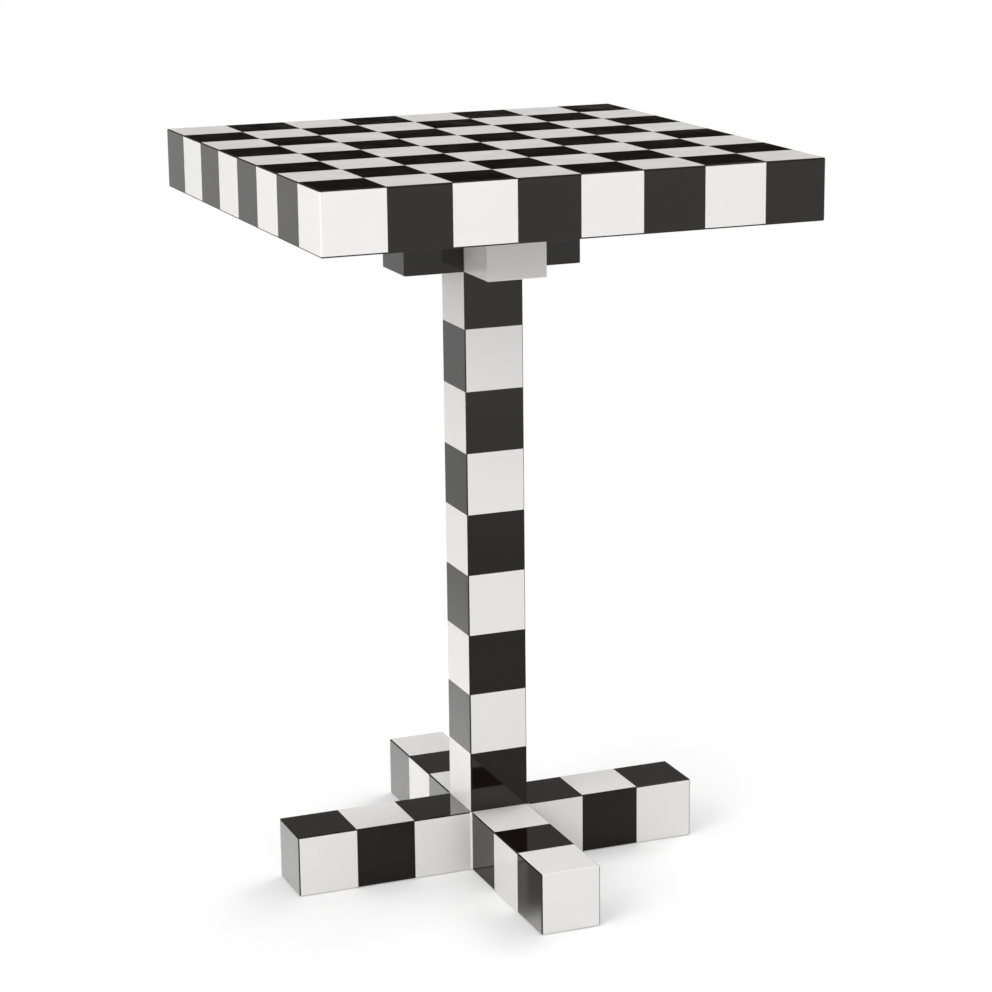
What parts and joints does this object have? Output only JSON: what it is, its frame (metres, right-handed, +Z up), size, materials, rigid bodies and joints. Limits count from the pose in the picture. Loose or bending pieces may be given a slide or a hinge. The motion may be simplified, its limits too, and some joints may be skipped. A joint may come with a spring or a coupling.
{
  "type": "chess table",
  "caption": "Square chess table with an inlaid black and white board, a square checkered column and cross-shaped arms under the top and on the floor.",
  "frame": {"origin": "on the floor, under the middle of the column", "axes": "+Z up along the column, +X right along the board's front edge, -Y towards the player at the front"},
  "size_m": [0.5, 0.5, 0.75],
  "materials": {
    "black_lacquer": "high-gloss black lacquer, edges rounded",
    "white_lacquer": "high-gloss white lacquer, edges rounded",
    "fibreboard": "sanded medium-density fibreboard",
    "stained_fibreboard": "fibreboard stained black, satin",
    "beech": "planed beech",
    "zinc_steel": "bright zinc plating",
    "black_steel": "blackened steel",
    "felt": "pressed wool felt, charcoal"
  },
  "bodies": {
    "root": {"board_squares_black": "black_lacquer", "board_squares_white": "white_lacquer", "edge_squares_black": "black_lacquer", "edge_squares_white": "white_lacquer", "top_deck": "fibreboard", "underside_panel": "black_lacquer", "edge_rail_front": "fibreboard", "edge_rail_back": "fibreboard", "edge_rail_left": "fibreboard", "edge_rail_right": "fibreboard", "core_ribs_lengthwise": "fibreboard", "core_ribs_crosswise": "fibreboard", "corner_blocks": "beech", "mounting_block": "beech", "threaded_inserts": "zinc_steel", "upper_cross_beam_black": "black_lacquer", "upper_cross_beam_white": "white_lacquer", "top_bolts": "black_steel", "column_squares_black": "black_lacquer", "column_squares_white": "white_lacquer", "column_stave_front": "fibreboard", "column_stave_right": "fibreboard", "column_stave_back": "fibreboard", "column_stave_left": "fibreboard", "column_head_block": "beech", "column_foot_block": "beech", "tie_rod": "zinc_steel", "tie_rod_nuts": "zinc_steel", "tie_rod_plate_washers": "zinc_steel", "base_beam_side_arms": "stained_fibreboard", "base_beam_front_back": "stained_fibreboard", "side_arm_squares_black": "black_lacquer", "side_arm_squares_white": "white_lacquer", "front_back_arm_squares_black": "black_lacquer", "front_back_arm_squares_white": "white_lacquer", "felt_pads": "felt"}
  },
  "joints": []
}
